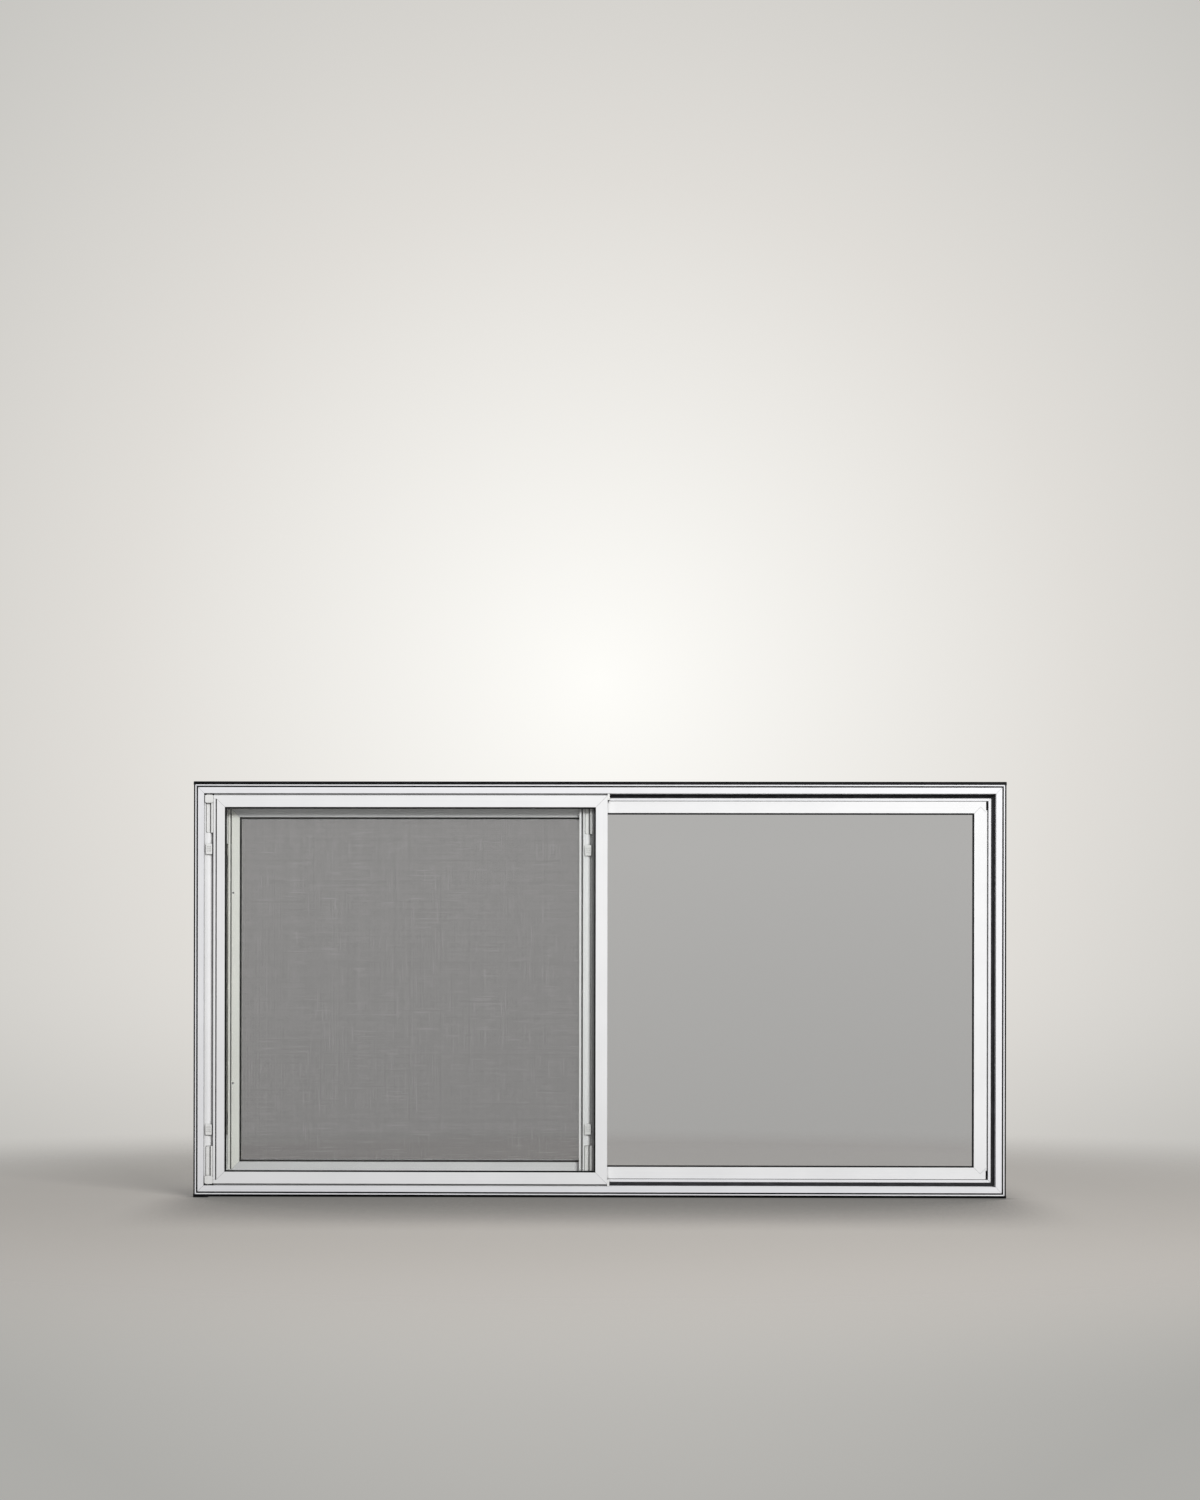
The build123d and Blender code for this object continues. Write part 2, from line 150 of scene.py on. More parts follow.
def enamel(name, colour, along, lines):
    """Stove enamel on extruded aluminium: satin with a slight orange peel, so that highlights are soft
    and uneven, over faint die lines that run with the extrusion. Painted shade greys its channels and
    gaps."""
    die_line = 0.9 * MM
    die_length = 400 * MM
    peel_cell = 1.6 * MM
    blotch = 90 * MM
    relief = 0.02 * MM
    rounded_edge = 0.5 * MM
    hollow_shade_reach = 9 * MM
    hollow_shade_strength = 0.85
    material, tree = new_material(name)
    place = add(tree, "TexCoord").outputs["Object"]
    stretch = [1 / die_line] * 3
    stretch["XYZ".index(along)] = 1 / die_length
    drawn = add(tree, "VectorMath", {0: place, 1: stretch}, operation="MULTIPLY").outputs[0]
    dies = add(tree, "TexNoise", {"Vector": drawn, "Scale": 1.0, "Detail": 2.0}).outputs["Fac"]
    blotches = add(tree, "TexNoise", {"Vector": place, "Scale": 1 / blotch, "Detail": 4.0})
    shade = add(tree, "Math", {0: dies, 1: blotches.outputs["Fac"]}, operation="ADD").outputs[0]
    tone = add(tree, "MapRange", {"Value": shade, "From Min": 0.7, "From Max": 1.3,
                                  "To Min": 0.955, "To Max": 1.02}).outputs[0]
    paint = add(tree, "VectorMath", {0: linear(colour)[:3], "Scale": tone}, operation="SCALE").outputs[0]
    crack = joint_lines(tree, place, lines)
    joined = add(tree, "Mix", {"Factor": crack, 6: paint, 7: linear("A6A6A8")}, data_type="RGBA")
    # Painted shade: channels, corners and narrow gaps are darkened grey.
    colours = painted_hollow_shade(tree, joined.outputs[2], hollow_shade_reach, hollow_shade_strength)
    peel = add(tree, "TexNoise", {"Vector": place, "Scale": 1 / peel_cell, "Detail": 1.0}).outputs["Fac"]
    rough = add(tree, "MapRange", {"Value": blotches.outputs["Fac"], "To Min": 0.32, "To Max": 0.46})
    rounded = add(tree, "Bevel", {"Radius": rounded_edge}, samples=4)
    drawn_bump = add(tree, "Bump", {"Height": dies, "Distance": relief, "Strength": 0.5,
                                    "Normal": rounded.outputs[0]})
    bump = add(tree, "Bump", {"Height": peel, "Distance": relief, "Strength": 0.4,
                              "Normal": drawn_bump.outputs[0]})
    skin = add(tree, "BsdfPrincipled", {"Base Color": colours, "Roughness": rough.outputs[0],
                                        "Normal": bump.outputs[0], "IOR": 1.5})
    add(tree, "OutputMaterial", {"Surface": skin.outputs[0]})
    return material


frame_mitres = [((side * half_width, half_height),
                 (side * (half_width - member_face), half_height - member_face)) for side in (-1, 1)]
dress(enamel("frame_enamel_across", frame_white, "X", frame_mitres), "frame_head", "frame_sill")
dress(enamel("frame_enamel_upright", frame_white, "Z", frame_mitres),
      "frame_left_jamb", "frame_right_jamb")

# Seal
# A black rubber bulb seal is pushed on round the outside of the frame. Along the sill it has worked
# loose at the left end and hangs a little lower.


def rubber(name, colour, rough, speck, dusting):
    """Extruded black rubber or vinyl: matt and near black, with a fine grain and patches of pale dust.
    The grain is drawn coarser than the real one, which is too fine to show."""
    dust_patch = 30 * MM
    relief = 0.05 * MM
    material, tree = new_material(name)
    place = add(tree, "TexCoord").outputs["Object"]
    grain = add(tree, "TexNoise", {"Vector": place, "Scale": 1 / speck, "Detail": 3.0}).outputs["Fac"]
    dust = add(tree, "TexNoise", {"Vector": place, "Scale": 1 / dust_patch, "Detail": 5.0})
    dusty = add(tree, "MapRange", {"Value": dust.outputs["Fac"], "From Min": 0.45, "From Max": 0.8,
                                   "To Min": 0.0, "To Max": dusting})
    colours = add(tree, "Mix", {"Factor": dusty.outputs[0], 6: linear(colour), 7: linear("55555A")},
                  data_type="RGBA")
    bump = add(tree, "Bump", {"Height": grain, "Distance": relief, "Strength": 0.6})
    skin = add(tree, "BsdfPrincipled", {"Base Color": colours.outputs[2], "Roughness": rough,
                                        "Normal": bump.outputs[0], "IOR": 1.52,
                                        "Specular IOR Level": 0.2})
    add(tree, "OutputMaterial", {"Surface": skin.outputs[0]})
    return material


seal_rubber = rubber("seal_rubber", "0B0B0D", rough=0.8, speck=0.8 * MM, dusting=0.12)
dress(seal_rubber, "seal_top", "seal_bottom", "seal_left", "seal_right")

# Seal foot
# The seal's barbed foot is pressed into the groove behind the edge rib of the frame, and shows there as
# a black line right round. That black is partly painted shade: it also stands for the deep groove's
# shade.

edge_rib = 2.2 * MM
edge_groove = 2.8 * MM
foot_setback = 0.4 * MM
foot_depth = 4.0 * MM
foot_ease = 0.02 * MM
foot_rounding = 0.3 * MM


def new_piece(name, bm, slot, material, *replaced):
    """Turns a finished bmesh into a piece that rides with the window."""
    mesh = bpy.data.meshes.new(name)
    bm.to_mesh(mesh)
    bm.free()
    mesh.materials.append(material)
    piece = bpy.data.objects.new(name, mesh)
    bpy.context.scene.collection.objects.link(piece)
    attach(piece, "root")
    if replaced:
        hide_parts(*replaced)
    return piece


def block(bm, low, high):
    """A box from its lowest to its highest corner."""
    low, high = Vector(low), Vector(high)
    size = Matrix.Diagonal((*(high - low), 1))
    bmesh.ops.create_cube(bm, size=1, matrix=Matrix.Translation((low + high) / 2) @ size)


def round_edges(bm, radius):
    """Rounds every edge of a bmesh."""
    bmesh.ops.bevel(bm, geom=list(bm.edges), offset=radius, segments=2, profile=0.5, affect="EDGES",
                    material=-1)


bm = bmesh.new()
outer = edge_rib + foot_ease
inner = edge_rib + edge_groove - foot_ease
front = sill_low.y + foot_setback
back = front + foot_depth
for side in (-1, 1):
    near, far = sorted((side * (half_width - outer), side * (half_width - inner)))
    block(bm, (near, front, window_middle - half_height + outer),
          (far, back, window_middle + half_height - outer))
    low, high = sorted((window_middle + side * (half_height - outer),
                        window_middle + side * (half_height - inner)))
    block(bm, (-half_width + inner, front, low), (half_width - inner, back, high))
round_edges(bm, foot_rounding)
# Partly painted shade: the black strip also darkens the groove as its shade would.
new_piece("seal_foot_and_groove_shade", bm, "seal_rubber", seal_rubber)

# Seal crumbs
# The seal was cut with a knife, and torn crumbs of its rubber still cling to the two ends on the left.

crumb_radius = 1.0 * MM
crumb_step = 2.6 * MM
crumb_inset = 2.2 * MM
crumb_depth = 0.3 * MM
crumb_scatter = 0.7
crumb_tear = 0.16
rng = random.Random(3)
bm = bmesh.new()
for name, run, edge in (("seal_top", 36 * MM, "top"), ("seal_bottom", 28 * MM, "bottom")):
    low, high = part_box(name)
    height = high.z - crumb_inset if edge == "top" else low.z + crumb_inset
    for i in range(int(run / crumb_step)):
        radius = crumb_radius * rng.uniform(0.6, 1.2)
        spot = Vector((low.x + (i + rng.uniform(0.8, 1.6)) * crumb_step, low.y + crumb_depth,
                       height + rng.uniform(-crumb_scatter, crumb_scatter) * MM))
        shape = Matrix.Translation(spot) @ Matrix.Diagonal((rng.uniform(1.1, 2.0), 0.9, 1.0, 1))
        crumb = bmesh.ops.create_icosphere(bm, subdivisions=2, radius=radius, matrix=shape)["verts"]
        for vertex in crumb:
            vertex.co += Vector([rng.uniform(-crumb_tear, crumb_tear) * radius for _ in range(3)])
new_piece("seal_crumbs", bm, "seal_rubber", seal_rubber)

# Corner screws
# Zinc-plated hex screws with a washer face hold each corner. They run through the jamb's outer wall into
# the screw ports of the head and the sill.

washer_radius = 3.4 * MM
washer_high = 0.5 * MM
hex_radius = 2.9 * MM
hex_high = 1.7 * MM
head_rounding = 0.18 * MM
screw_rows = (-12 * MM, -27 * MM)
screw_inset = 10 * MM


def zinc(name, colour):
    """Zinc-plated steel: bright but not mirror-like, clouded where the plating has dulled."""
    cloud_size = 1.0 * MM
    material, tree = new_material(name)
    place = add(tree, "TexCoord").outputs["Object"]
    marks = add(tree, "TexNoise", {"Vector": place, "Scale": 1 / cloud_size, "Detail": 3.0})
    cloud = add(tree, "Mix", {"Factor": marks.outputs["Fac"], 6: linear(colour), 7: linear("9A9B9F")},
                data_type="RGBA")
    rough = add(tree, "MapRange", {"Value": marks.outputs["Fac"], "To Min": 0.28, "To Max": 0.5})
    skin = add(tree, "BsdfPrincipled", {"Base Color": cloud.outputs[2], "Metallic": 1.0,
                                        "Roughness": rough.outputs[0]})
    add(tree, "OutputMaterial", {"Surface": skin.outputs[0]})
    return material


bm = bmesh.new()
turn = Matrix.Rotation(math.pi / 2, 4, "Y")
for side in (-1, 1):
    for up in (-1, 1):
        height = window_middle + up * (half_height - screw_inset)
        for depth in screw_rows:
            for radius, segments, low, high in ((washer_radius, 20, 0, washer_high),
                                                (hex_radius, 6, washer_high, washer_high + hex_high)):
                middle = Vector((side * (half_width + (low + high) / 2), depth, height))
                bmesh.ops.create_cone(bm, cap_ends=True, segments=segments, radius1=radius,
                                      radius2=radius, depth=high - low,
                                      matrix=Matrix.Translation(middle) @ turn)
round_edges(bm, head_rounding)
new_piece("corner_screws", bm, "spring_steel", zinc("zinc_plated_screw", "C6C7CB"))

# Pile strips
# Dark grey woven pile is slid into the leg behind the front track, and brushes the back of the front
# sash. It is matt, holds more dust between its tufts, and is drawn near black: partly its own dark grey,
# partly painted shade of the deep track.

# The near black is partly painted shade of the deep track.
dress(rubber("pile_dark_grey_and_track_shade", "2A2A2C", rough=0.9, speck=0.5 * MM, dusting=0.3),
      "pile_head", "pile_sill", "pile_left", "pile_right")

# Glass sashes
# Each is four enamelled extrusions round a pane: the rails lap over the grip fin of the latch stile and
# are mitred into it. The left one rides the front track, the right one the middle track.

sash_white = "ECECEC"
sash_face = 21.9 * MM
fin_start = 24.8 * MM
box_start = 31 * MM
box_face = 15 * MM
jamb_mitre = 10.1 * MM
jamb_lip = 1.6 * MM


def corner_lines(panel, face, right_stile):
    """The joints at the corners of one panel, in X and height off the window's middle."""
    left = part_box(f"{panel}_latch_stile")[0].x
    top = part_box(f"{panel}_latch_stile")[1].z - window_middle
    fin, box = left + fin_start, left + box_start
    lap = top - (face - box_face)
    lines = [((fin, top), (fin, lap)), ((fin, lap), (box, lap)),
             ((box, lap), (box + box_face, top - face))]
    if right_stile == "jamb_stile":
        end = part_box(f"{panel}_bottom_rail")[1].x
        peak = end - jamb_mitre
        lines += [((end - sash_face, top - face), (peak, top - jamb_mitre)),
                  ((peak, top - jamb_mitre), (end, top - face + jamb_lip))]
    else:
        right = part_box(f"{panel}_{right_stile}")[1].x
        lines += [((right, top), (right - face, top - face))]
    return lines


for panel, right_stile in (("left_sash", "meeting_stile"), ("right_sash", "jamb_stile")):
    lines = corner_lines(panel, sash_face, right_stile)
    dress(enamel(f"{panel}_enamel_across", sash_white, "X", lines),
          f"{panel}_top_rail", f"{panel}_bottom_rail")
    dress(enamel(f"{panel}_enamel_upright", sash_white, "Z", lines),
          f"{panel}_latch_stile", f"{panel}_{right_stile}")

# Sash bumpers
# Black rubber blocks close the two right ends of the right sash, and meet the jamb when it is shut.

bumper_thick = 3.4 * MM
bumper_high = 15.4 * MM
bumper_deep = 7 * MM
bumper_setback = 0.8 * MM
bumper_rounding = 0.5 * MM
middle_leg = 29.5 * MM
bm = bmesh.new()
for rail, side in (("right_sash_top_rail", 1), ("right_sash_bottom_rail", -1)):
    low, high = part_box(rail)
    outer = window_middle + side * (half_height - middle_leg)
    bottom, top = sorted((outer, outer - side * bumper_high))
    block(bm, (high.x, low.y + bumper_setback, bottom),
          (high.x + bumper_thick, low.y + bumper_setback + bumper_deep, top))
round_edges(bm, bumper_rounding)
new_piece("sash_bumpers", bm, "seal_rubber", seal_rubber)

# Panes
# Clear float glass with a faint grey tint. It lets the lamp's light through, so that what stands behind
# it is lit.


def tinted_glass():
    """Float glass: quite smooth and clear, slightly grey, with the sharp reflections of a flat pane."""
    material, tree = new_material("tinted_float_glass")
    pane = add(tree, "BsdfPrincipled", {"Base Color": linear("F5F5F5"), "Roughness": 0.0,
                                        "Transmission Weight": 1.0, "IOR": 1.5})
    clear = add(tree, "BsdfTransparent", {"Color": linear("FDFEFD")})
    path = add(tree, "LightPath")
    lighting = add(tree, "Math", {0: path.outputs["Is Shadow Ray"], 1: path.outputs["Is Diffuse Ray"]},
                   operation="MAXIMUM")
    both = add(tree, "MixShader", {0: lighting.outputs[0], 1: pane.outputs[0], 2: clear.outputs[0]})
    add(tree, "OutputMaterial", {"Surface": both.outputs[0]})
    return material


dress(tinted_glass(), "left_sash_glass", "right_sash_glass")

# Glazing vinyl
# A black wrap-round gasket grips the edge of each pane inside the rails and shows as a thin line.

dress(rubber("glazing_vinyl", "0A0A0B", rough=0.6, speck=0.6 * MM, dusting=0.06),
      "left_sash_gasket", "right_sash_gasket")

# Half screen
# A lighter extruded frame in the rear track, its screen cloth held in a groove by a ribbed black spline.
# The real enamel is likely one colour. It is written paler on the stiles as painted light, and greyer on
# the rails as painted shade.

screen_rail_shaded_grey = "DADADA"
screen_stile_lit_grey = "F2F2EB"
screen_face = 16.5 * MM
screen_lines = corner_lines("screen", screen_face, "plain_stile")
# Painted light and shade: the stiles are written paler and the rails greyer than their one enamel.
dress(enamel("screen_enamel_across", screen_rail_shaded_grey, "X", screen_lines),
      "screen_top_rail", "screen_bottom_rail")
dress(enamel("screen_enamel_upright", screen_stile_lit_grey, "Z", screen_lines),
      "screen_latch_stile", "screen_plain_stile")

# Screen spline
# A black vinyl cord with ribs along it, rolled into the groove of the screen frame on top of the cloth.

spline_ribs = 9
rib_depth = 0.25 * MM
low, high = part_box("screen_spline")
cord_radius = (high.y - low.y) / 2
middle = (low + high) / 2
hollow = (cord_radius - rib_depth) / cord_radius
bm = bmesh.new()
for side in (0, 1):
    across = (low.x + cord_radius, high.x - cord_radius)[side]
    upward = (low.z + cord_radius, high.z - cord_radius)[side]
    for spot, turn, length in (
            (Vector((across, middle.y, middle.z)), Matrix.Identity(4), high.z - low.z),
            (Vector((middle.x, middle.y, upward)), Matrix.Rotation(math.pi / 2, 4, "Y"),
             high.x - low.x - 4 * cord_radius)):
        run = bmesh.ops.create_cone(bm, cap_ends=True, segments=2 * spline_ribs, radius1=cord_radius,
                                    radius2=cord_radius, depth=length)["verts"]
        hollows = [v for v in run if round(math.atan2(v.co.y, v.co.x) / math.pi * spline_ribs) % 2]
        bmesh.ops.scale(bm, vec=(hollow, hollow, 1), verts=hollows)
        bmesh.ops.transform(bm, matrix=Matrix.Translation(spot) @ turn, verts=run)
spline_vinyl = rubber("spline_vinyl", "060607", rough=0.6, speck=0.6 * MM, dusting=0.03)
new_piece("screen_spline_cord", bm, "spline_vinyl", spline_vinyl, "screen_spline")

# Screen rivets
# Two small aluminium pop rivets, dulled dark, fix the spring rod behind the screen's latch stile.

rivet_radius = 1.9 * MM
rivet_rise = 0.8 * MM
rivet_crown = rivet_radius * 0.75
rivet_dish = rivet_rise * 0.8
mandrel_radius = 0.8 * MM
rivet_inset = 3.2 * MM
rivet_heights = (542.3 * MM, 183.3 * MM)
low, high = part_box("screen_latch_stile")
turn = Matrix.Rotation(math.pi / 2, 4, "X")
bm = bmesh.new()
for height in rivet_heights:
    spot = Vector((low.x + box_start + rivet_inset, low.y - rivet_rise / 2, height))
    rivet = bmesh.ops.create_cone(bm, cap_ends=True, segments=20, radius1=rivet_radius,
                                  radius2=rivet_crown, depth=rivet_rise,
                                  matrix=Matrix.Translation(spot) @ turn)["verts"]
    crown = min({f for v in rivet for f in v.link_faces}, key=lambda f: f.calc_center_median().y)
    bmesh.ops.inset_region(bm, faces=[crown], thickness=rivet_crown - mandrel_radius)
    bmesh.ops.translate(bm, vec=(0, rivet_dish, 0), verts=crown.verts)
new_piece("screen_rivets", bm, "spring_steel", zinc("dulled_rivet", "5C5C60"))

# Screen cloth
# Vinyl-coated glass fibre, 18 threads to the inch one way and 16 the other, drawn tight over the frame
# and trimmed behind the spline. The upright threads and the level ones lie in two layers.

warp_pitch = 1.41 * MM
weft_pitch = 1.59 * MM
thread = 0.42 * MM
thread_sides = 4
spacing_play = 0.08


def coated_thread():
    """Vinyl-coated glass fibre: grey satin threads, a few of them paler over short lengths where the
    coating has rubbed thin."""
    rubbed_length = 60 * MM
    warp_width = 1.4 * MM
    weft_width = 1.6 * MM
    material, tree = new_material("coated_screen_thread")
    place = add(tree, "TexCoord").outputs["Object"]
    marks = []
    for stretch in ((1 / warp_width, 1, 1 / rubbed_length), (1 / rubbed_length, 1, 1 / weft_width)):
        drawn = add(tree, "VectorMath", {0: place, 1: stretch}, operation="MULTIPLY").outputs[0]
        mark = add(tree, "TexNoise", {"Vector": drawn, "Scale": 1.0, "Detail": 1.0})
        marks.append(mark.outputs["Fac"])
    rubbed = add(tree, "Math", {0: marks[0], 1: marks[1]}, operation="MAXIMUM").outputs[0]
    tone = add(tree, "MapRange", {"Value": rubbed, "From Min": 0.62, "From Max": 0.72}).outputs[0]
    colours = add(tree, "Mix", {"Factor": tone, 6: linear("4B484B"), 7: linear("827E81")},
                  data_type="RGBA")
    skin = add(tree, "BsdfPrincipled", {"Base Color": colours.outputs[2], "Roughness": 0.55,
                                        "IOR": 1.5})
    add(tree, "OutputMaterial", {"Surface": skin.outputs[0]})
    return material


low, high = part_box("screen_mesh")
middle = (low + high) / 2
rng = random.Random(11)
bm = bmesh.new()
for upright, pitch, start, end, length, depth in (
        (True, warp_pitch, low.x, high.x, high.z - low.z, middle.y - thread / 4),
        (False, weft_pitch, low.z, high.z, high.x - low.x, middle.y + thread / 4)):
    turn = Matrix.Identity(4) if upright else Matrix.Rotation(math.pi / 2, 4, "Y")
    for i in range(int((end - start) / pitch)):
        across = start + (i + 0.5 + rng.uniform(-spacing_play, spacing_play)) * pitch
        radius = thread / 2 * rng.uniform(0.9, 1.12)
        spot = Vector((across, depth, middle.z)) if upright else Vector((middle.x, depth, across))
        bmesh.ops.create_cone(bm, cap_ends=True, segments=thread_sides, radius1=radius,
                              radius2=radius, depth=length, matrix=Matrix.Translation(spot) @ turn)
cloth = new_piece("screen_cloth", bm, "screen_cloth", coated_thread(), "screen_mesh")

# Latches
# White moulded nylon slides in the channel of each latch stile, pushed outwards by a plated coil spring,
# with its nose running through a nylon guide at the end of the stile.


def nylon():
    """Injection-moulded nylon: slightly creamy white, smooth but not glossy, with handling grime."""
    grain_size = 1.2 * MM
    grime_patch = 9 * MM
    relief = 0.03 * MM
    rounded_edge = 0.5 * MM
    hollow_shade_reach = 6 * MM
    hollow_shade_strength = 0.8
    material, tree = new_material("moulded_white_nylon")
    place = add(tree, "TexCoord").outputs["Object"]
    grain = add(tree, "TexNoise", {"Vector": place, "Scale": 1 / grain_size, "Detail": 4.0})
    grime = add(tree, "TexNoise", {"Vector": place, "Scale": 1 / grime_patch, "Detail": 5.0})
    dirty = add(tree, "MapRange", {"Value": grime.outputs["Fac"], "From Min": 0.5, "From Max": 0.75,
                                   "To Min": 0.0, "To Max": 0.3})
    handled = add(tree, "Mix", {"Factor": dirty.outputs[0], 6: linear("E8E8E6"), 7: linear("B9B8B4")},
                  data_type="RGBA")
    # Painted shade: the nylon is darkened grey where it sits deep in the channel and its openings.
    colours = painted_hollow_shade(tree, handled.outputs[2], hollow_shade_reach, hollow_shade_strength)
    rounded = add(tree, "Bevel", {"Radius": rounded_edge}, samples=4)
    bump = add(tree, "Bump", {"Height": grain.outputs["Fac"], "Distance": relief, "Strength": 0.5,
                              "Normal": rounded.outputs[0]})
    skin = add(tree, "BsdfPrincipled", {"Base Color": colours, "Roughness": 0.42,
                                        "Normal": bump.outputs[0], "IOR": 1.53})
    add(tree, "OutputMaterial", {"Surface": skin.outputs[0]})
    return material


white_nylon = nylon()
for panel in ("left_sash", "right_sash", "screen"):
    dress(white_nylon, f"{panel}_top_latch", f"{panel}_bottom_latch", f"{panel}_end_guides")

# Latch springs
# Each latch is pushed out by a coil of zinc-plated wire on a nylon rod, between the thumb tab and the
# body. The coil is wound by spinning a ring of the wire's size, and both its ends are closed.

wire = 0.6 * MM
wire_sides = 6
coil_pitch = 1.5 * MM
coil_length = 22.4 * MM
turn_steps = 12
spring_wire = zinc("zinc_plated_wire", "C2C3C6")
turns = int((coil_length - wire) / coil_pitch)
rise = (coil_length - wire) / (turns * turn_steps)
for panel in ("left_sash", "right_sash", "screen"):
    low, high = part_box(f"{panel}_latch_springs")
    axis_x, axis_y = (low.x + high.x) / 2, (low.y + high.y) / 2
    coil_radius = (high.x - low.x) / 2 - wire / 2
    bm = bmesh.new()
    for bottom in (low.z, high.z - coil_length):
        start = Vector((axis_x + coil_radius, axis_y, bottom + wire / 2))
        place = Matrix.Translation(start) @ Matrix.Rotation(math.pi / 2, 4, "X")
        ring = bmesh.ops.create_circle(bm, segments=wire_sides, radius=wire / 2, matrix=place)["verts"]
        bmesh.ops.spin(bm, geom=ring + list({e for v in ring for e in v.link_edges}),
                       cent=(axis_x, axis_y, 0), axis=(0, 0, 1), dvec=(0, 0, rise),
                       angle=2 * math.pi * turns, steps=turns * turn_steps)
    bmesh.ops.holes_fill(bm, edges=[edge for edge in bm.edges if edge.is_boundary])
    bmesh.ops.recalc_face_normals(bm, faces=bm.faces)
    new_piece(f"{panel}_spring_coils", bm, "spring_steel", spring_wire, f"{panel}_latch_springs")

# Backdrop
# A pale wall with a soft glow low behind the window, darker towards the floor. Gloss shows it dimmed on
# the camera's side, glass shows an even grey, and a dim sky lights the object from all round.

camera_turn = math.radians(0.6)
glow_rise = math.radians(6.6)
glow_reach = 0.34
sky_light = 0.42
world = bpy.data.worlds.new("studio")
bpy.context.scene.world = world
world.use_nodes = True
tree = world.node_tree
tree.nodes.clear()
direction = add(tree, "TexCoord").outputs["Generated"]
apart = add(tree, "SeparateXYZ", {0: direction})
glow = Vector((-math.sin(camera_turn), math.cos(camera_turn), math.tan(glow_rise))).normalized()
off_glow = add(tree, "VectorMath", {0: direction, 1: glow}, operation="DISTANCE").outputs["Value"]
spread = add(tree, "MapRange", {"Value": off_glow, "From Min": 0.0, "From Max": glow_reach}).outputs[0]
ramp = add(tree, "ValToRGB", {"Fac": spread})
stops = ramp.color_ramp.elements
stops[0].color = linear("FFFEFA")
stops[1].color = linear("C3C2BE")
stops.new(0.53).color = linear("E0DDD8")
sink = add(tree, "MapRange", {"Value": apart.outputs["Z"], "From Min": 0.01, "From Max": -0.13,
                              "To Min": 1.0, "To Max": 0.77}, interpolation_type="SMOOTHSTEP")
backdrop = add(tree, "VectorMath", {0: ramp.outputs[0], "Scale": sink.outputs[0]}, operation="SCALE")
seen = add(tree, "Background", {"Color": backdrop.outputs[0], "Strength": 1.0})
room = add(tree, "MapRange", {"Value": apart.outputs["Y"], "From Min": -0.4, "From Max": 0.1,
                              "To Min": 0.12, "To Max": 1.0})
mirrored = add(tree, "Background", {"Color": backdrop.outputs[0], "Strength": room.outputs[0]})
behind = add(tree, "MapRange", {"Value": apart.outputs["Z"], "From Min": -0.08, "From Max": 0.05,
                                "To Min": 0.88, "To Max": 1.05})
through = add(tree, "Background", {"Color": linear("B6B5B3"), "Strength": behind.outputs[0]})
sky = add(tree, "Background", {"Color": linear("F6F7FA"), "Strength": sky_light})
path = add(tree, "LightPath")
shown = sky.outputs[0]
for ray, background in (("Is Glossy Ray", mirrored), ("Is Transmission Ray", through),
                        ("Is Camera Ray", seen)):
    shown = add(tree, "MixShader", {0: path.outputs[ray], 1: shown, 2: background.outputs[0]}).outputs[0]
add(tree, "OutputWorld", {"Surface": shown})

# Floor
# A pale matt board that fades out into the backdrop, with the shadow close under the window deepened.
# Seen through glass it is thinner, so that the panes stay an even grey.

floor_radius = 4.0
floor_grey = "B9B3AC"
fade_start, fade_end = 1.0, 2.6
shadow_reach = 0.7
shadow_depth, open_depth = 4.6, 0.15
shadow_half, shadow_end = 0.68, 0.86
thinned_by_glass = 0.65
bm = bmesh.new()
bmesh.ops.create_circle(bm, cap_ends=True, segments=64, radius=floor_radius,
                        matrix=Matrix.Translation((0, 0, cad_low.z)))
mesh = bpy.data.meshes.new("floor")
bm.to_mesh(mesh)
bm.free()
floor = bpy.data.objects.new("floor", mesh)
bpy.context.scene.collection.objects.link(floor)
floor_skin, tree = new_material("pale_matt_floor")
place = add(tree, "TexCoord").outputs["Object"]
far = add(tree, "VectorMath", {0: place}, operation="LENGTH").outputs["Value"]
fade = add(tree, "MapRange", {"Value": far, "From Min": fade_start, "From Max": fade_end,
                              "To Min": 0.3}, interpolation_type="SMOOTHSTEP")
around = add(tree, "AmbientOcclusion", {"Color": (1, 1, 1, 1), "Distance": shadow_reach}, samples=8)
sideways = add(tree, "SeparateXYZ", {0: place}).outputs["X"]
off_centre = add(tree, "Math", {0: sideways}, operation="ABSOLUTE").outputs[0]
depth = add(tree, "MapRange", {"Value": off_centre, "From Min": shadow_half, "From Max": shadow_end,
                               "To Min": shadow_depth, "To Max": open_depth},
            interpolation_type="SMOOTHSTEP")
shade = add(tree, "Math", {0: around.outputs["AO"], 1: depth.outputs[0]}, operation="POWER").outputs[0]
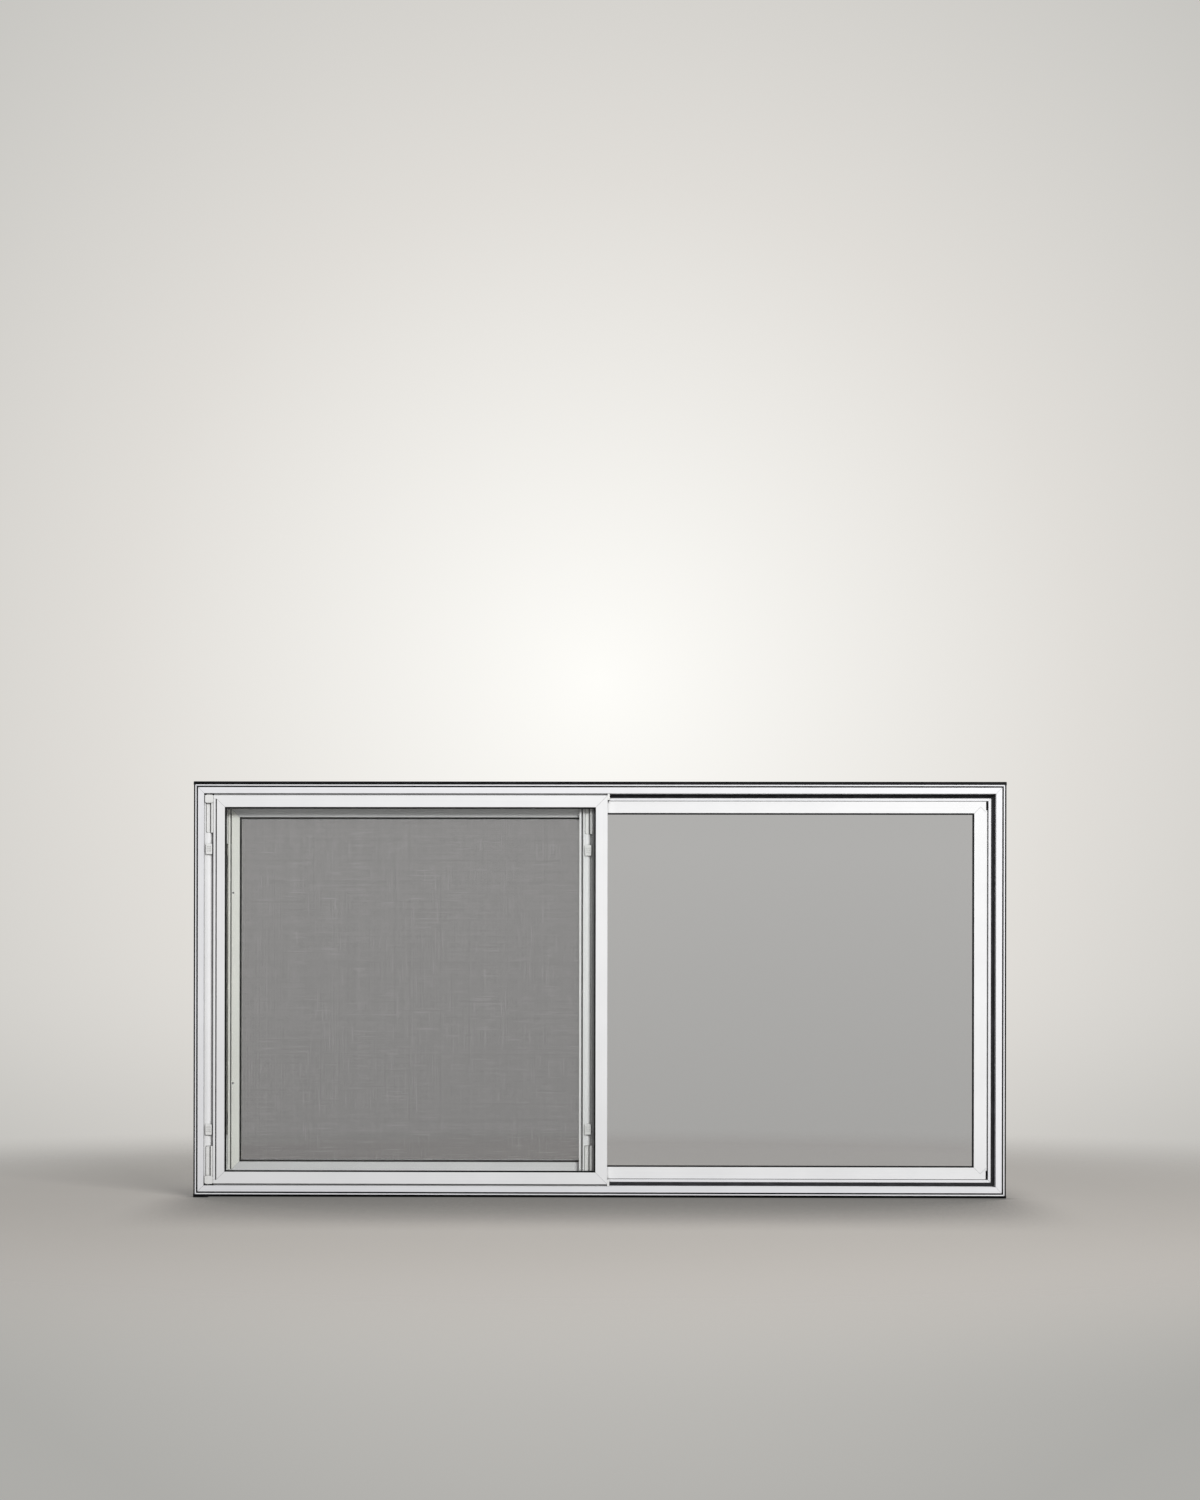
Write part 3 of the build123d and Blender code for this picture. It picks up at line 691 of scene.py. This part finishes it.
grey = add(tree, "VectorMath", {0: linear(floor_grey)[:3], "Scale": shade}, operation="SCALE")
matt = add(tree, "BsdfDiffuse", {"Color": grey.outputs[0]})
gone = add(tree, "BsdfTransparent")
glazed = add(tree, "Math", {0: add(tree, "LightPath").outputs["Is Transmission Ray"],
                            1: thinned_by_glass}, operation="MULTIPLY")
thin = add(tree, "Math", {0: fade.outputs[0], 1: glazed.outputs[0]}, operation="MAXIMUM")
both = add(tree, "MixShader", {0: thin.outputs[0], 1: matt.outputs[0], 2: gone.outputs[0]})
add(tree, "OutputMaterial", {"Surface": both.outputs[0]})
mesh.materials.append(floor_skin)
floor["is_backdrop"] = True

# Lamp
# One large soft lamp, high on the right in front of the window and turned to its middle.

lamp_data = bpy.data.lights.new("soft_lamp", "AREA")
lamp_data.shape = "RECTANGLE"
lamp_data.size = 2.6
lamp_data.size_y = 1.4
lamp_data.energy = 284
lamp = bpy.data.objects.new("soft_lamp", lamp_data)
bpy.context.scene.collection.objects.link(lamp)
lamp.location = (2.2, -4.7, 3.1)
aim = Vector((0.2, 0, window_middle)) - lamp.location
lamp.rotation_mode = "QUATERNION"
lamp.rotation_quaternion = aim.to_track_quat("-Z", "Y")

# Camera
# Nearly square on to the window and level with its middle; the shift sets the window low in the picture.

camera_distance = 5.0
camera_roll = math.radians(-0.09)
sensor_width = 36
photo_scale = 1.8727 * MM
photo_height = 1500
middle_row = 989.9
sideways_pixels = 0.75
camera_data = bpy.data.cameras.new("camera")
camera = bpy.data.objects.new("camera", camera_data)
bpy.context.scene.collection.objects.link(camera)
bpy.context.scene.camera = camera
camera_data.sensor_width = sensor_width
camera_data.lens = sensor_width * camera_distance / (photo_height * photo_scale)
camera_data.shift_x = sideways_pixels / photo_height
camera_data.shift_y = (middle_row - photo_height / 2) / photo_height
camera.location = (camera_distance * math.sin(camera_turn),
                   cad_low.y - camera_distance * math.cos(camera_turn), window_middle)
camera.rotation_euler = (math.pi / 2, camera_roll, camera_turn)

bpy.context.scene.view_settings.view_transform = "Standard"

low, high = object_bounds()
